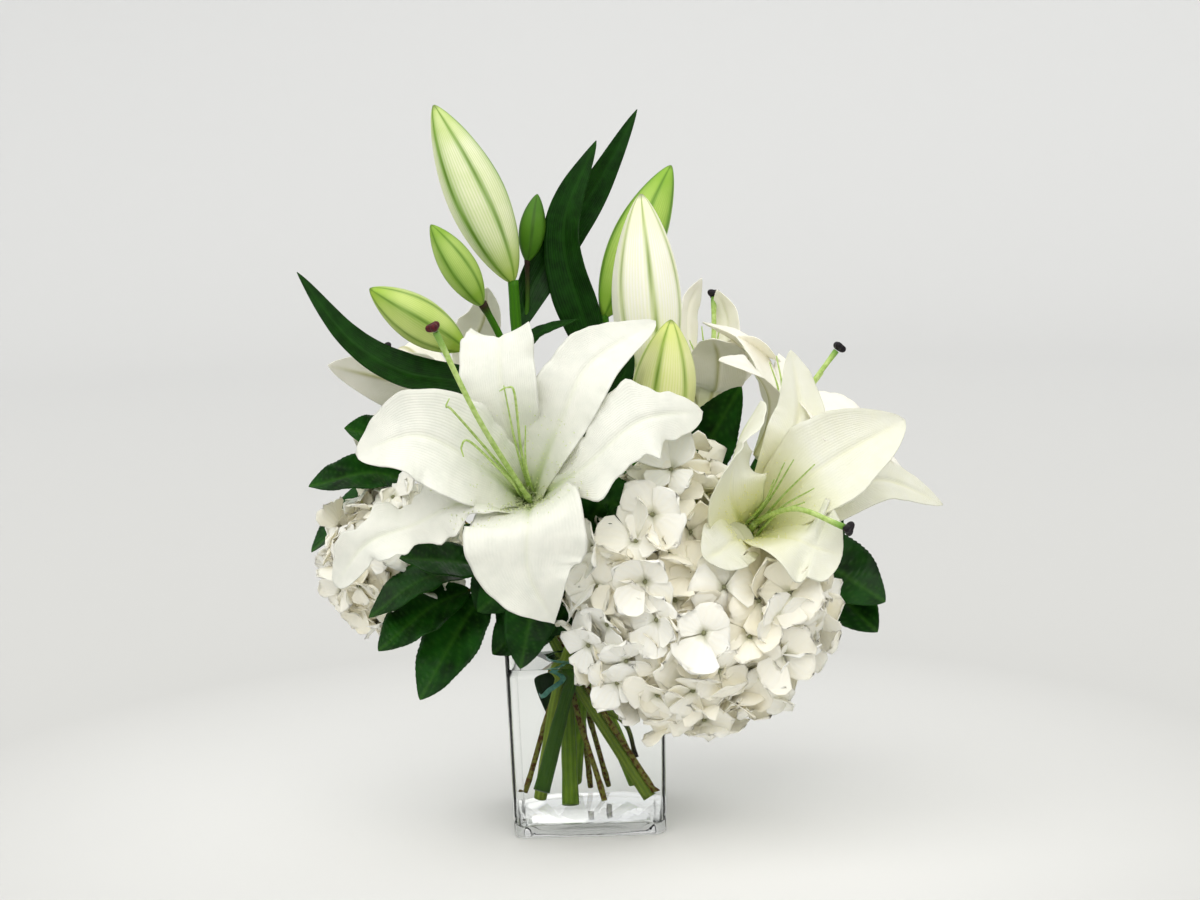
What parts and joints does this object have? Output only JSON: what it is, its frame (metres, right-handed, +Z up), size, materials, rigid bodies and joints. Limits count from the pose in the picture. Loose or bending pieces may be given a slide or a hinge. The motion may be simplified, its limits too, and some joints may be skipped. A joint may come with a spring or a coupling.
{
  "type": "lilies in a vase",
  "caption": "Square clear glass vase of water holding cut white lilies with buds, mophead hydrangeas and leathery leaf sprigs, tied together.",
  "frame": {"origin": "middle of the vase's underside, on the surface that it stands on", "axes": "+Z up, -Y towards the front of the arrangement, +X to the right as seen from the front"},
  "size_m": [0.4071, 0.2777, 0.47],
  "materials": {
    "clear_glass": "polished, clear",
    "water": "clear liquid",
    "green_tape": "waxed",
    "green_stem": "fresh plant stem and leaf",
    "leathery_leaf": "leathery leaf",
    "white_petal": "soft petal",
    "green_pistil": "smooth plant tissue",
    "dark_stigma": "velvety",
    "green_bud": "smooth bud",
    "cream_floret": "soft petal"
  },
  "bodies": {
    "root": {"glass_vase": "clear_glass", "water": "water", "stem_tie": "green_tape", "lily_stem_1": "green_stem", "lily_stem_2": "green_stem", "lily_stem_3": "green_stem", "lily_stem_4": "green_stem", "hydrangea_stem_1": "green_stem", "hydrangea_stem_2": "green_stem", "salal_sprig_1": "leathery_leaf", "salal_sprig_2": "leathery_leaf", "salal_sprig_3": "leathery_leaf", "salal_sprig_4": "leathery_leaf", "salal_sprig_5": "leathery_leaf", "lily_a_tepals": "white_petal", "lily_b_tepals": "white_petal", "lily_c_tepals": "white_petal", "lily_d_tepals": "white_petal", "lily_e_tepals": "white_petal", "lily_a_pistil": "green_pistil", "lily_b_pistil": "green_pistil", "lily_c_pistil": "green_pistil", "lily_d_pistil": "green_pistil", "lily_e_pistil": "green_pistil", "lily_a_stigma": "dark_stigma", "lily_b_stigma": "dark_stigma", "lily_c_stigma": "dark_stigma", "lily_d_stigma": "dark_stigma", "lily_e_stigma": "dark_stigma", "bud_1": "green_bud", "bud_2": "green_bud", "bud_3": "green_bud", "bud_4": "green_bud", "bud_5": "green_bud", "bud_6": "green_bud", "bud_7": "green_bud", "hydrangea_head_1": "cream_floret", "hydrangea_head_2": "cream_floret"}
  },
  "joints": []
}
